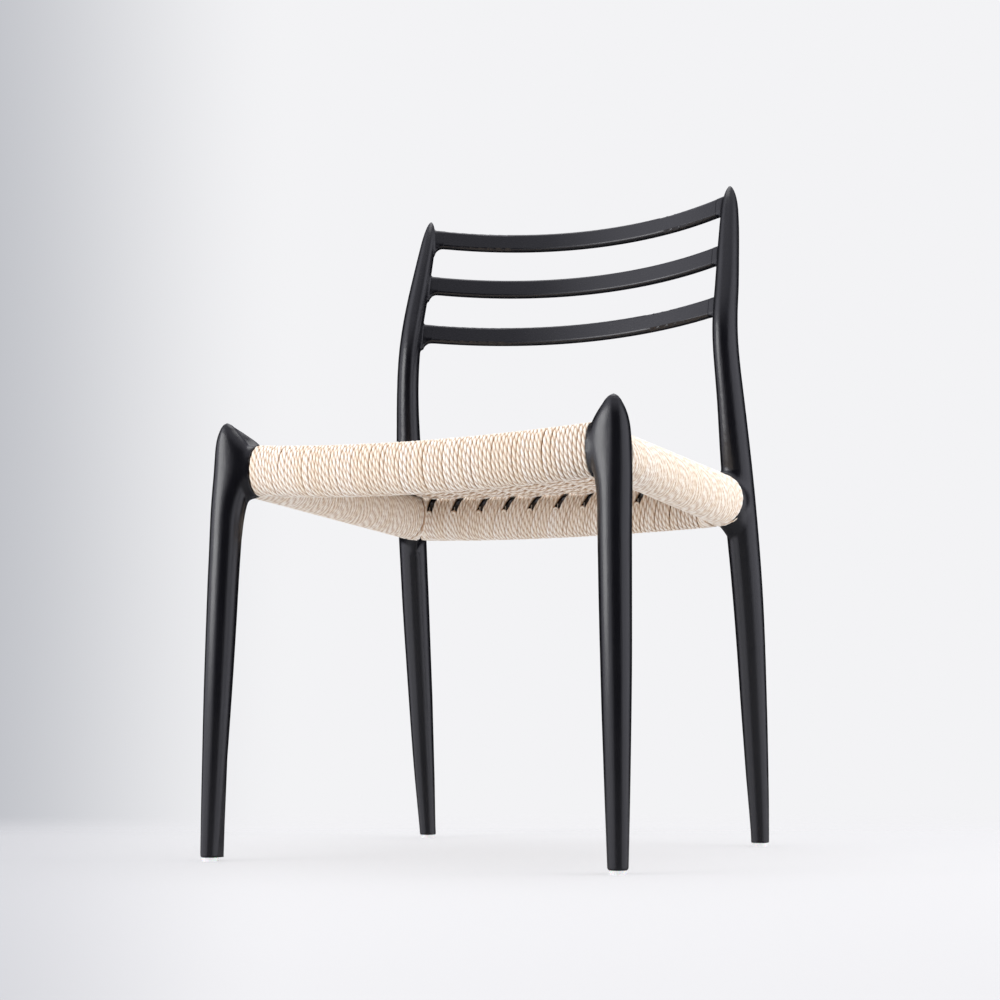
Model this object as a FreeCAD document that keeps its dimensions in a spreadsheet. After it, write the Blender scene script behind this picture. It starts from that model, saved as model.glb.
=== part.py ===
import FreeCAD, Part
import Sketcher
import math
import os

document = FreeCAD.newDocument("chair")
sizes = document.addObject("Spreadsheet::Sheet", "sizes")

# Lengths in millimetres. Out is the distance from the middle plane, back is measured
# from the middle of the chair towards its rear, and level is the height above the floor.
lengths = {
    "front_rail_half": 199.0, "front_rail_back": -220.0, "front_rail_level": 423.0,
    "front_rail_bow": -17.5, "front_rail_dip": 9.7,
    "rear_rail_half": 200.0, "rear_rail_back": 166.0, "rear_rail_level": 406.5,
    "rear_rail_bow": 1.0, "rear_rail_dip": 4.5,
    "front_foot_past": 35.9, "front_foot_ahead": 31.7, "front_tip_past": 28.9, "front_tip_ahead": 14.3,
    "side_front_past": 12.5, "side_front_behind": 19.0, "side_front_level": 416.7,
    "side_rear_past": 8.0, "side_rear_ahead": 15.5, "side_rear_level": 410.7,
    "rail_half_tall": 24.0, "rail_half_thick": 17.5, "side_half_tall": 24.5, "side_half_thick": 22.5,
    "cord_thick": 4.5, "cord_proud": 0.9, "fit_gap": 0.3, "overrun": 5.0,
    "tenon_tall": 28.0, "tenon_thick": 11.0, "tenon_long": 8.4, "tenon_root": 4.0, "tenon_gap": 0.2,
    "front_stub_rise": 20.5, "front_stub_drop": 150.0, "front_side_rise": 25.0, "front_side_drop": 70.0,
    "front_side_thick": 18.5,
    "rear_stub_rise": 38.0, "rear_stub_drop": 42.0, "rear_stub_thick": 16.0,
    "slat_housing": 3.0, "slat_tenon": 8.0,
    "slat_tall": 23.4, "slat_thick": 10.0, "slat_corner": 3.2,
    "slat_tenon_tall": 15.0, "slat_tenon_thick": 6.0, "slat_fillet": 11.0, "slat_web_thick": 8.4,
    "slat_web_bite": 9.0, "slat_web_in": 1.5,
    "top_slat_behind": 43.6, "top_slat_level": 780.2, "top_slat_sag": 47.2,
    "middle_slat_behind": 27.0, "middle_slat_level": 715.0, "middle_slat_sag": 45.8,
    "lower_slat_behind": 10.9, "lower_slat_level": 648.3, "lower_slat_sag": 41.6,
    "seat_edge_in": 6.0, "seat_front_ahead": 12.0, "seat_rear_ahead": 6.0, "seat_thick": 9.0,
    "seat_sag": 3.0, "seat_level": 436.5, "seat_corner_wide": 25.0, "seat_corner_tall": 72.0,
    "seat_corner_in": 8.0,
    "nail_rise": 6.0,
    "nail_radius": 0.8, "nail_sunk": 11.0, "nail_proud": 2.6, "nail_hook": 6.0, "nail_hook_radius": 0.7,
    "nail_hole_gap": 0.1, "slot_wide": 8.4, "slot_rise": 14.5, "slot_fall": 2.5, "slot_inset": 6.0,
    "glide_tall": 4.0, "glide_foot_radius": 8.2, "glide_top_radius": 9.4,
    "glide_nail_radius": 1.1, "glide_nail_long": 16.0, "glide_nail_gap": 0.15,
    "glide_head_radius": 3.0, "glide_head_tall": 0.9, "glide_head_level": 0.6,
}

# Shares of a rail's half length from one nail to the next.
front_nail_share = 0.18182
rear_nail_share = 0.176

# Lengths that follow from others: the legs, side rails, slats and seat keep their place beside the rails,
# and the nails keep their share of a rail.
derived = {
    "front_foot_out": "front_rail_half + front_foot_past",
    "front_foot_back": "front_rail_back - front_foot_ahead",
    "front_tip_out": "front_rail_half + front_tip_past",
    "front_tip_back": "front_rail_back - front_tip_ahead",
    "side_front_out": "front_rail_half + side_front_past",
    "side_front_back": "front_rail_back + side_front_behind",
    "side_rear_out": "rear_rail_half + side_rear_past",
    "side_rear_back": "rear_rail_back - side_rear_ahead",
    "front_nail_pitch": "front_rail_half * %s" % front_nail_share,
    "rear_nail_pitch": "rear_rail_half * %s" % rear_nail_share,
    "slat_half_chord": "rear_rail_half",
    "slat_housed_half": "rear_rail_half + slat_housing",
    "slat_tenon_half": "rear_rail_half + slat_tenon",
    "slat_web_out": "rear_rail_half - slat_web_in",
    "top_slat_back": "rear_rail_back + top_slat_behind",
    "middle_slat_back": "rear_rail_back + middle_slat_behind",
    "lower_slat_back": "rear_rail_back + lower_slat_behind",
    "seat_half_wide": "side_rear_out - seat_edge_in",
    "seat_front_back": "front_rail_back - seat_front_ahead",
    "seat_rear_back": "rear_rail_back - seat_rear_ahead",
}

# Front leg, turned: level and radius of each station from the floor to the pointed head.
front_stations = {
    "foot": (4.0, 10.4), "ankle": (58.0, 12.1), "low_shin": (108.0, 13.5), "shin": (158.0, 14.8),
    "high_shin": (208.0, 15.8), "calf": (258.0, 16.5), "knee": (308.0, 17.1), "thigh": (354.0, 17.7),
    "hip": (392.0, 17.7), "waist": (420.0, 16.6), "chest": (440.0, 14.7), "neck": (454.0, 12.2),
    "brow": (464.0, 9.0), "crown": (470.0, 5.6), "tip": (473.7, 1.4),
}

# Rear leg, shaped: level, how far past the rail's end and behind its middle, and the two half widths
# of each oval station.
rear_stations = {
    "foot": (4.0, 23.2, 70.6, 10.2, 11.2), "ankle": (58.0, 23.8, 64.6, 12.2, 13.0),
    "low_shin": (108.0, 24.0, 58.6, 13.8, 14.7), "shin": (158.0, 24.1, 53.0, 15.0, 16.1),
    "high_shin": (208.0, 24.2, 47.3, 15.9, 17.3), "calf": (258.0, 24.2, 41.2, 16.7, 18.4),
    "knee": (308.0, 23.7, 34.5, 17.3, 19.4), "thigh": (358.0, 22.6, 27.0, 17.6, 20.2),
    "hip": (408.0, 21.2, 18.9, 17.8, 20.5), "seat": (458.0, 19.9, 11.0, 17.1, 20.0),
    "waist": (508.0, 18.5, 3.9, 15.4, 18.9), "loin": (558.0, 16.4, -2.6, 14.1, 17.7),
    "rib": (608.0, 13.9, -4.7, 13.7, 17.0), "chest": (654.0, 12.9, 3.3, 13.4, 16.2),
    "blade": (694.0, 11.6, 14.8, 12.9, 15.0), "shoulder": (728.0, 10.1, 24.8, 11.7, 14.2),
    "neck": (756.0, 8.8, 33.0, 10.4, 13.0), "jaw": (777.0, 7.9, 38.6, 8.8, 11.2),
    "brow": (791.0, 7.3, 41.6, 6.5, 8.4), "crown": (799.0, 7.0, 43.0, 4.1, 5.2),
    "tip": (804.0, 6.8, 43.7, 1.2, 1.5),
}

for word, (level, radius) in front_stations.items():
    lengths["front_" + word + "_level"] = level
    lengths["front_" + word + "_radius"] = radius
for word, (level, past, behind, narrow, broad) in rear_stations.items():
    lengths["rear_" + word + "_level"] = level
    lengths["rear_" + word + "_past"] = past
    lengths["rear_" + word + "_behind"] = behind
    derived["rear_" + word + "_out"] = "rear_rail_half + rear_%s_past" % word
    derived["rear_" + word + "_back"] = "rear_rail_back + rear_%s_behind" % word
    lengths["rear_" + word + "_narrow"] = narrow
    lengths["rear_" + word + "_broad"] = broad

cells = {name: str(value) for name, value in lengths.items()}
cells.update({name: "=" + formula for name, formula in derived.items()})
for row, (name, content) in enumerate(cells.items(), start=1):
    sizes.set("A%d" % row, name)
    sizes.setAlias("B%d" % row, name)
    sizes.set("B%d" % row, content)
document.recompute()

# Angles in degrees, counts, and shares of a length.
back_rake_angle = 13.9
slat_end_angle = 24.0
seat_tilt_angle = 1.2
side_front_angle = 14.5
side_rear_angle = 15.5
nail_count = 11
rail_shares = (-1.0, -0.5, 0.0, 0.5, 1.0)
stub_shares = (0.1, 0.35, 0.6, 0.82, 1.0)
front_top_power = 0.85
front_side_top_power = 0.6
rear_top_power = 2
front_waist_share = 0.7
front_side_waist_share = 0.1
rear_waist_share = 0.55
sides = (("left", -1), ("right", 1))

# Directions that a section can face: up, across the chair, or along it.
facing_up = FreeCAD.Rotation()
facing_across = FreeCAD.Rotation(FreeCAD.Vector(0, 1, 0), -90)
facing_along = FreeCAD.Rotation(FreeCAD.Vector(1, 1, 1), -120)


def size(name):
    return "sizes." + name


def between(first, last, share):
    return "(%s + (%s - %s) * %s)" % (first, last, first, share)


def place(thing, x, y, z, rotation=None):
    """Bind the position of an object to three expressions and turn it."""
    if rotation is not None:
        thing.Placement = FreeCAD.Placement(FreeCAD.Vector(0, 0, 0), rotation)
    for axis, text in zip("xyz", (x, y, z)):
        thing.setExpression("Placement.Base." + axis, text)
    return thing


def oval(name, tall, thick, x, y, z, rotation):
    """One oval section: half height along its first axis and half thickness along the second."""
    section = document.addObject("Part::Ellipse", name)
    section.setExpression("MajorRadius", tall)
    section.setExpression("MinorRadius", thick)
    return place(section, x, y, z, rotation)


def loft(name, sections):
    body = document.addObject("Part::Loft", name)
    body.Sections = sections
    body.Solid = True
    return body


def block(name, wide, deep, tall, x, y, z):
    """A box given by its size and its middle."""
    body = document.addObject("Part::Box", name)
    body.setExpression("Length", wide)
    body.setExpression("Width", deep)
    body.setExpression("Height", tall)
    middle = ["%s - (%s) / 2" % pair for pair in ((x, wide), (y, deep), (z, tall))]
    return place(body, *middle)


def rod(name, radius, long, x, y, z, rotation=facing_up):
    body = document.addObject("Part::Cylinder", name)
    body.setExpression("Radius", radius)
    body.setExpression("Height", long)
    return place(body, x, y, z, rotation)


def fuse(name, bodies):
    whole = document.addObject("Part::MultiFuse", name)
    whole.Shapes = bodies
    return whole


def cut(name, base, tools):
    """Take the tools away one after another."""
    for number, tool in enumerate(tools):
        result = document.addObject("Part::Cut", "%s_%d" % (name, number))
        result.Base = base
        result.Tool = tool
        base = result
    return base


def rectangle(body, name, middle, wide, tall):
    """A rectangle on the upright plane of a body, its middle out along the first axis."""
    plane = [feature for feature in body.Origin.OriginFeatures if feature.Role == "XZ_Plane"][0]
    sketch = body.newObject("Sketcher::SketchObject", name)
    sketch.AttachmentSupport = [(plane, "")]
    sketch.MapMode = "FlatFace"
    corners = [FreeCAD.Vector(x, y, 0) for x, y in ((1, -1), (2, -1), (2, 1), (1, 1))]
    for index in range(4):
        sketch.addGeometry(Part.LineSegment(corners[index], corners[(index + 1) % 4]))
    for index in range(4):
        sketch.addConstraint(Sketcher.Constraint("Coincident", index, 2, (index + 1) % 4, 1))
    for index in (0, 2):
        sketch.addConstraint(Sketcher.Constraint("Horizontal", index))
    for index in (1, 3):
        sketch.addConstraint(Sketcher.Constraint("Vertical", index))
    for kind, edge, end, text in (("DistanceX", 0, 1, "%s - %s / 2" % (middle, wide)),
                                  ("DistanceX", 0, 2, "%s + %s / 2" % (middle, wide)),
                                  ("DistanceY", 3, 1, "%s / 2" % tall)):
        row = sketch.addConstraint(Sketcher.Constraint(kind, -1, 1, edge, end, 1.0))
        sketch.setExpression("Constraints[%d]" % row, text)
    row = sketch.addConstraint(Sketcher.Constraint("DistanceY", 0, 1, -1, 1, 1.0))
    sketch.setExpression("Constraints[%d]" % row, "%s / 2" % tall)
    return sketch


def bend(body, name, radius, half, thick, tall):
    """A bar bent round the upright axis: a rectangle turned through the angle of its chord."""
    sketch = rectangle(body, name + "_outline", radius, thick, tall)
    turn = body.newObject("PartDesign::Revolution", name)
    turn.Profile = sketch
    turn.ReferenceAxis = (sketch, ["V_Axis"])
    turn.Midplane = True
    turn.setExpression("Angle", "2 * asin((%s) / (%s))" % (half, radius))
    return turn


def cross_rail(name, rail, tall, thick, past=""):
    """A bar across the chair: ovals whose middle bows forward or back and dips by a parabola."""
    sections = []
    for number, share in enumerate(rail_shares):
        x = "%s * (%s%s)" % (share, size(rail + "_half"), past)
        curve = "(1 - (%s / %s) ^ 2)" % (x, size(rail + "_half"))
        y = "%s + %s * %s" % (size(rail + "_back"), size(rail + "_bow"), curve)
        z = "%s - %s * %s" % (size(rail + "_level"), size(rail + "_dip"), curve)
        sections.append(oval("%s_section_%d" % (name, number), tall, thick, x, y, z, facing_across))
    return loft(name, sections)


def side_facing(end, side):
    """The direction of a side rail's end: both ends are cut aslant, longer on the outer side."""
    angle = -side * side_front_angle if end == "front" else side * side_rear_angle
    return FreeCAD.Rotation(FreeCAD.Vector(0, 0, 1), angle).multiply(facing_along)


def side_rail(name, side, tall, thick, past="0"):
    """A straight bar from the front leg to the rear leg."""
    sections = []
    for end, sign in (("front", "-"), ("rear", "+")):
        x = "%d * %s" % (side, size("side_%s_out" % end))
        y = "%s %s %s" % (size("side_%s_back" % end), sign, past)
        z = size("side_%s_level" % end)
        sections.append(oval("%s_section_%s" % (name, end), tall, thick, x, y, z, side_facing(end, side)))
    return loft(name, sections)


def rail_bar(name, rail, tall, thick, past):
    if rail in ("front_rail", "rear_rail"):
        return cross_rail(name, rail, tall, thick, " + " + past if past else "")
    side = dict(sides)[rail.split("_")[0]]
    return side_rail(name, side, tall, thick, past or "0")


def half_tall(rail, extra="0"):
    wood = size("rail_half_tall") if rail in ("front_rail", "rear_rail") else size("side_half_tall")
    return "(%s + %s)" % (wood, extra)


def half_thick(rail, extra="0"):
    wood = size("rail_half_thick") if rail in ("front_rail", "rear_rail") else size("side_half_thick")
    return "(%s + %s)" % (wood, extra)


wound = size("cord_thick")
clear = "%s + %s" % (size("cord_thick"), size("fit_gap"))
flush = "%s - %s" % (size("cord_thick"), size("cord_proud"))


def rail_tenons(name, rail, gap):
    """The two tenons of a rail, or with a gap the mortises that take them."""
    tall = "(%s + 2 * %s)" % (size("tenon_tall"), gap)
    thick = "(%s + 2 * %s)" % (size("tenon_thick"), gap)
    long = "(%s + %s + %s)" % (size("tenon_long"), gap, size("tenon_root"))
    out = "(%s / 2 - %s)" % (long, size("tenon_root"))
    if rail in ("front_rail", "rear_rail"):
        return [block("%s_%s" % (name, side_name), long, thick, tall,
                      "%d * (%s + %s)" % (side, size(rail + "_half"), out),
                      size(rail + "_back"), size(rail + "_level")) for side_name, side in sides]
    side = dict(sides)[rail.split("_")[0]]
    return [block("%s_%s" % (name, end), thick, long, tall,
                  "%d * %s" % (side, size("side_%s_out" % end)),
                  "%s %s %s" % (size("side_%s_back" % end), sign, out),
                  size("side_%s_level" % end)) for end, sign in (("front", "-"), ("rear", "+"))]


def nail_place(rail, number):
    """Where a cord nail leaves the rail: across, the rail's middle behind it, and its level."""
    x = "%s * %s" % (number - (nail_count - 1) / 2, size(rail.split("_")[0] + "_nail_pitch"))
    curve = "(1 - (%s / %s) ^ 2)" % (x, size(rail + "_half"))
    y = "(%s + %s * %s)" % (size(rail + "_back"), size(rail + "_bow"), curve)
    z = "(%s - %s * %s + %s)" % (size(rail + "_level"), size(rail + "_dip"), curve, size("nail_rise"))
    return x, y, z


# The bent nails go into the inner faces of the front and rear rails, one for each pair of cords.
nodes = []
nail_holes = {}
slots = {}
for rail, inward in (("front_rail", 1), ("rear_rail", -1)):
    turned = FreeCAD.Rotation(FreeCAD.Vector(1, 0, 0), -90 * inward)
    wires = []
    nail_holes[rail] = []
    slots[rail] = []
    for number in range(nail_count):
        x, y, z = nail_place(rail, number)
        mark = "%s_%d" % (rail, number)
        face = half_thick(rail)
        start = "%s + %d * (%s - %s)" % (y, inward, face, size("nail_sunk"))
        reach = "%s + %s" % (size("nail_sunk"), size("nail_proud"))
        wires.append(rod("nail_shank_" + mark, size("nail_radius"), reach, x, start, z, turned))
        hook_y = "%s + %d * (%s + %s - %s)" % (y, inward, face, size("nail_proud"), size("nail_radius"))
        wires.append(rod("nail_hook_" + mark, size("nail_hook_radius"), size("nail_hook"), x, hook_y, z))
        hole_radius = "%s + %s" % (size("nail_radius"), size("nail_hole_gap"))
        hole_start = "%s - %d * %s" % (start, inward, size("nail_hole_gap"))
        hole_long = "%s + %s" % (size("nail_sunk"), size("overrun"))
        nail_holes[rail].append(rod("nail_hole_" + mark, hole_radius, hole_long, x, hole_start, z, turned))
        slot_deep = "(%s - %s + %s)" % (half_thick(rail, wound), size("slot_inset"), size("overrun"))
        slot_tall = "(%s + %s)" % (size("slot_rise"), size("slot_fall"))
        slots[rail].append(block("slot_" + mark, size("slot_wide"), slot_deep, slot_tall, x,
                                 "%s + %d * (%s + %s / 2)" % (y, inward, size("slot_inset"), slot_deep),
                                 "%s + (%s - %s) / 2" % (z, size("slot_rise"), size("slot_fall"))))
    nodes.append((rail.split("_")[0] + "_cord_nails", fuse(rail + "_nails", wires)))

# Room that each wound rail takes up: the other pieces are cut back from it.
rails = ("front_rail", "rear_rail", "left_rail", "right_rail")
room = {rail: rail_bar(rail + "_room", rail, half_tall(rail, clear), half_thick(rail, clear), size("overrun"))
        for rail in rails}
rear_leg_room = rail_bar("rear_rail_leg_room", "rear_rail", half_tall("rear_rail", clear),
                         half_thick("rear_rail", clear), size("fit_gap"))

# Rails: oval bars with a tenon at each end. The cord wound on them is a sleeve round the same line,
# open on the inner face of the front and rear rails above each nail.
for rail in rails:
    bar = rail_bar(rail + "_bar", rail, half_tall(rail), half_thick(rail), "")
    outer = rail_bar(rail + "_wound", rail, half_tall(rail, wound), half_thick(rail, wound), "")
    hollow = rail_bar(rail + "_hollow", rail, half_tall(rail, size("fit_gap")),
                      half_thick(rail, size("fit_gap")), size("overrun"))
    sleeve_tools = [hollow]
    if rail == "rear_rail":
        bar = cut(rail + "_scooped", bar, [room["left_rail"], room["right_rail"]])
        sleeve_tools += [room["left_rail"], room["right_rail"]]
    joined = fuse(rail + "_joined", [bar] + rail_tenons(rail + "_tenon", rail, "0"))
    if rail in slots:
        sleeve_tools.append(fuse(rail + "_slots", slots[rail]))
        joined = cut(rail + "_drilled", joined, [fuse(rail + "_nail_holes", nail_holes[rail])])
    nodes.append((rail, joined))
    nodes.append((rail + "_cord", cut(rail + "_sleeve", outer, sleeve_tools)))


def leg_point(leg, axis, level):
    """The middle of a leg at the level of a rail: a straight line for the front leg."""
    if leg == "rear":
        return size("rear_hip_" + axis)
    share = "((%s - %s) / (%s - %s))" % (level, size("front_foot_level"),
                                         size("front_tip_level"), size("front_foot_level"))
    return between(size("front_foot_" + axis), size("front_tip_" + axis), share)


def stub(name, leg, side, rail, rise, drop, power, thick, waist_share, outward="0"):
    """The flare from a leg to a rail: ovals whose top falls and whose underside sweeps up to the rail.
    Outward is how far the flare's end lies outside the middle of a side rail."""
    across = rail in ("front_rail", "rear_rail")
    level = size(rail + "_level") if across else size("side_%s_level" % leg)
    end_out = size(rail + "_half") if across else "(%s + %s)" % (size("side_%s_out" % leg), outward)
    end_back = size(rail + "_back")
    if not across:
        slant_share = math.tan(math.radians(side_rear_angle if leg == "rear" else -side_front_angle))
        end_back = "(%s + %s * %s)" % (size("side_%s_back" % leg), outward, slant_share)
    sections = []
    for number, share in enumerate(stub_shares):
        rest = 1 - share
        top = "(%s + %s + %s * %s)" % (level, half_tall(rail, flush), rise, rest ** power)
        bottom = "(%s - %s - %s * %s)" % (level, half_tall(rail, flush), drop, rest ** 2)
        x = "%d * %s" % (side, between(leg_point(leg, "out", level), end_out, share))
        y = between(leg_point(leg, "back", level), end_back, share)
        sections.append(oval("%s_%d" % (name, number), "(%s - %s) / 2" % (top, bottom),
                             "%s * %s" % (thick, 1 - waist_share * rest ** 2), x, y,
                             "(%s + %s) / 2" % (top, bottom),
                             facing_across if across else side_facing(leg, side)))
    return loft(name, sections)


def glide_hole(name, side, leg):
    radius = "%s + %s" % (size("glide_nail_radius"), size("glide_nail_gap"))
    return rod(name, radius, "%s + %s" % (size("glide_nail_long"), size("glide_nail_gap")),
               "%d * %s" % (side, size(leg + "_foot_out")), size(leg + "_foot_back"), size("glide_head_level"))


def slat_bar(name, slat, half, thick, tall):
    """A bent bar on the raked back, bowed to the rear between the two posts."""
    chord = size("slat_half_chord")
    sag = size(slat + "_sag")
    radius = "((%s ^ 2 + %s ^ 2) / (2 * %s))" % (chord, sag, sag)
    body = document.addObject("PartDesign::Body", name)
    turn = bend(body, name + "_turn", radius, half, thick, tall)
    reach = "(%s - %s)" % (radius, sag)
    place(body, "0", "%s - %s * cos(%s)" % (size(slat + "_back"), reach, back_rake_angle),
          "%s + %s * sin(%s)" % (size(slat + "_level"), reach, back_rake_angle),
          FreeCAD.Rotation(90, back_rake_angle, 0))
    return body, turn, radius


# Slats: the long edges are rounded before the thinner tenons are added at both ends.
slat_tools = []
for slat in ("top_slat", "middle_slat", "lower_slat"):
    body, turn, radius = slat_bar(slat + "_body", slat, size("slat_housed_half"),
                                  size("slat_thick"), size("slat_tall"))
    document.recompute()
    rounded = body.newObject("PartDesign::Fillet", slat + "_rounded")
    long_edges = ["Edge%d" % (number + 1) for number, edge in enumerate(turn.Shape.Edges)
                  if hasattr(edge.Curve, "Radius")]
    rounded.Base = (turn, long_edges)
    rounded.setExpression("Radius", size("slat_corner"))
    bend(body, slat + "_tenon", radius, size("slat_tenon_half"), size("slat_tenon_thick"),
         size("slat_tenon_tall"))
    nodes.append((slat, body))
    gap = "2 * " + size("tenon_gap")
    for part, half, thick, tall in (("housing", "slat_housed_half", "slat_thick", "slat_tall"),
                                    ("mortise", "slat_tenon_half", "slat_tenon_thick", "slat_tenon_tall")):
        tool = slat_bar("%s_%s" % (slat, part), slat, "%s + %s" % (size(half), size("tenon_gap")),
                        "(%s + %s)" % (size(thick), gap), "(%s + %s)" % (size(tall), gap))[0]
        slat_tools.append(tool)


def slat_web(name, slat, side):
    """The rounded web below a slat where it runs into the post."""
    body = document.addObject("PartDesign::Body", name)
    plane = [feature for feature in body.Origin.OriginFeatures if feature.Role == "XZ_Plane"][0]
    sketch = body.newObject("Sketcher::SketchObject", name + "_outline")
    sketch.AttachmentSupport = [(plane, "")]
    sketch.MapMode = "FlatFace"
    round_off = lengths["slat_fillet"]
    bite = lengths["slat_web_bite"]
    under = -lengths["slat_tall"] / 2
    low = under - round_off
    point = FreeCAD.Vector
    circle = Part.Circle(point(-round_off, low, 0), point(0, 0, 1), round_off)
    sketch.addGeometry(Part.ArcOfCircle(circle, 0, math.pi / 2))
    sketch.addGeometry(Part.LineSegment(point(0, low, 0), point(bite, low, 0)))
    sketch.addGeometry(Part.LineSegment(point(bite, low, 0), point(bite, 0, 0)))
    sketch.addGeometry(Part.LineSegment(point(bite, 0, 0), point(-round_off, 0, 0)))
    sketch.addGeometry(Part.LineSegment(point(-round_off, 0, 0), point(-round_off, under, 0)))
    for first, end, second, other in ((0, 1, 1, 1), (1, 2, 2, 1), (2, 2, 3, 1), (3, 2, 4, 1), (4, 2, 0, 2)):
        sketch.addConstraint(Sketcher.Constraint("Coincident", first, end, second, other))
    sketch.addConstraint(Sketcher.Constraint("Horizontal", 1))
    sketch.addConstraint(Sketcher.Constraint("Vertical", 2))
    sketch.addConstraint(Sketcher.Constraint("Horizontal", 3))
    sketch.addConstraint(Sketcher.Constraint("Vertical", 4))
    sketch.addConstraint(Sketcher.Constraint("PointOnObject", 3, 1, -1))
    sketch.addConstraint(Sketcher.Constraint("PointOnObject", 1, 1, -2))
    sketch.addConstraint(Sketcher.Constraint("Vertical", 0, 2, 0, 3))
    sketch.addConstraint(Sketcher.Constraint("Horizontal", 0, 1, 0, 3))
    for kind, geometry, end, other, other_end, text in (
            ("DistanceX", 4, 2, -1, 1, size("slat_fillet")),
            ("DistanceX", -1, 1, 2, 1, size("slat_web_bite")),
            ("DistanceY", 4, 2, -1, 1, "%s / 2" % size("slat_tall"))):
        row = sketch.addConstraint(Sketcher.Constraint(kind, geometry, end, other, other_end, 1.0))
        sketch.setExpression("Constraints[%d]" % row, text)
    pad = body.newObject("PartDesign::Pad", name + "_pad")
    pad.Profile = sketch
    pad.Midplane = True
    pad.setExpression("Length", size("slat_web_thick"))
    outward = FreeCAD.Rotation(0 if side > 0 else 180, 0, 0)
    swing = FreeCAD.Rotation(FreeCAD.Vector(0, 0, 1), -side * slat_end_angle)
    rake = FreeCAD.Rotation(FreeCAD.Vector(1, 0, 0), -back_rake_angle)
    place(body, "%d * %s" % (side, size("slat_web_out")), size(slat + "_back"), size(slat + "_level"),
          rake.multiply(swing).multiply(outward))
    return body


# Legs: a turned or shaped shaft, the stubs that meet the rails, then the mortises.
mortises = {rail: rail_tenons(rail + "_mortise", rail, size("tenon_gap"))
            for rail in rails}
for number, (side_name, side) in enumerate(sides):
    side_rail_name = side_name + "_rail"
    sections = []
    for word in front_stations:
        level = size("front_%s_level" % word)
        radius = size("front_%s_radius" % word)
        sections.append(oval("front_%s_%s" % (side_name, word), radius, radius,
                             "%d * %s" % (side, leg_point("front", "out", level)),
                             leg_point("front", "back", level), level, facing_up))
    shaft = loft("front_leg_shaft_" + side_name, sections)
    stubs = [stub("front_stub_" + side_name, "front", side, "front_rail", size("front_stub_rise"),
                  size("front_stub_drop"), front_top_power, half_thick("front_rail", flush), front_waist_share),
             stub("front_side_stub_" + side_name, "front", side, side_rail_name, size("front_side_rise"),
                  size("front_side_drop"), front_side_top_power, size("front_side_thick"), front_side_waist_share,
                  "(%s - %s)" % (half_thick(side_rail_name, flush), size("front_side_thick")))]
    whole = fuse("front_leg_whole_" + side_name, [shaft] + stubs)
    tools = [mortises["front_rail"][number], mortises[side_rail_name][0],
             glide_hole("front_glide_hole_" + side_name, side, "front")]
    nodes.append(("front_leg_" + side_name, cut("front_leg_cut_" + side_name, whole, tools)))

    sections = []
    turned = FreeCAD.Rotation(FreeCAD.Vector(0, 0, 1), 90 - side * slat_end_angle)
    for word in rear_stations:
        sections.append(oval("rear_%s_%s" % (side_name, word), size("rear_%s_broad" % word),
                             size("rear_%s_narrow" % word), "%d * %s" % (side, size("rear_%s_out" % word)),
                             size("rear_%s_back" % word), size("rear_%s_level" % word), turned))
    shaft = loft("rear_leg_shaft_" + side_name, sections)
    stubs = [stub("rear_stub_" + side_name, "rear", side, "rear_rail", size("rear_stub_rise"),
                  size("rear_stub_drop"), rear_top_power, size("rear_stub_thick"), rear_waist_share),
             stub("rear_side_stub_" + side_name, "rear", side, side_rail_name, size("rear_stub_rise"),
                  size("rear_stub_drop"), rear_top_power, half_thick(side_rail_name, flush), rear_waist_share)]
    webs = [slat_web("%s_web_%s" % (slat, side_name), slat, side)
            for slat in ("top_slat", "middle_slat", "lower_slat")]
    whole = fuse("rear_leg_whole_" + side_name, [shaft] + stubs + webs)
    tools = [mortises["rear_rail"][number], mortises[side_rail_name][1], rear_leg_room,
             glide_hole("rear_glide_hole_" + side_name, side, "rear")] + slat_tools
    nodes.append(("rear_leg_" + side_name, cut("rear_leg_cut_" + side_name, whole, tools)))

# Woven seat: one gently hollowed mat between the four wound rails.
seat_radius = "((%s ^ 2 + %s ^ 2) / (2 * %s))" % (size("seat_half_wide"), size("seat_sag"), size("seat_sag"))
seat_long = "(%s - %s)" % (size("seat_rear_back"), size("seat_front_back"))
mat = document.addObject("PartDesign::Body", "seat_mat")
bend(mat, "seat_turn", "(%s + %s / 2)" % (seat_radius, size("seat_thick")), size("seat_half_wide"),
     size("seat_thick"), seat_long)
place(mat, "0", "(%s + %s) / 2 + %s * sin(%s)" % (size("seat_rear_back"), size("seat_front_back"),
                                                  seat_radius, seat_tilt_angle),
      "%s + %s * cos(%s)" % (size("seat_level"), seat_radius, seat_tilt_angle),
      FreeCAD.Rotation(FreeCAD.Vector(1, 0, 0), 90 - seat_tilt_angle).multiply(FreeCAD.Rotation(-90, 0, 0)))
seat_tools = [room[rail] for rail in rails]
for side_name, side in sides:
    for end, sign in (("front", 1), ("rear", -1)):
        edge = "(%s + %d * %s)" % (size("side_%s_back" % end), sign, size("seat_corner_in"))
        far = size("seat_%s_back" % end)
        deep = "(%d * (%s - %s) + %s)" % (sign, edge, far, size("overrun"))
        seat_tools.append(block("seat_corner_%s_%s" % (end, side_name), size("seat_corner_wide"), deep,
                                size("seat_corner_tall"),
                                "%d * (%s + %s - %s / 2)" % (side, size("seat_half_wide"), size("overrun"),
                                                             size("seat_corner_wide")),
                                "%s - %d * %s / 2" % (edge, sign, deep), size("seat_level")))
nodes.append(("woven_seat", cut("seat_fitted", mat, seat_tools)))

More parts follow.
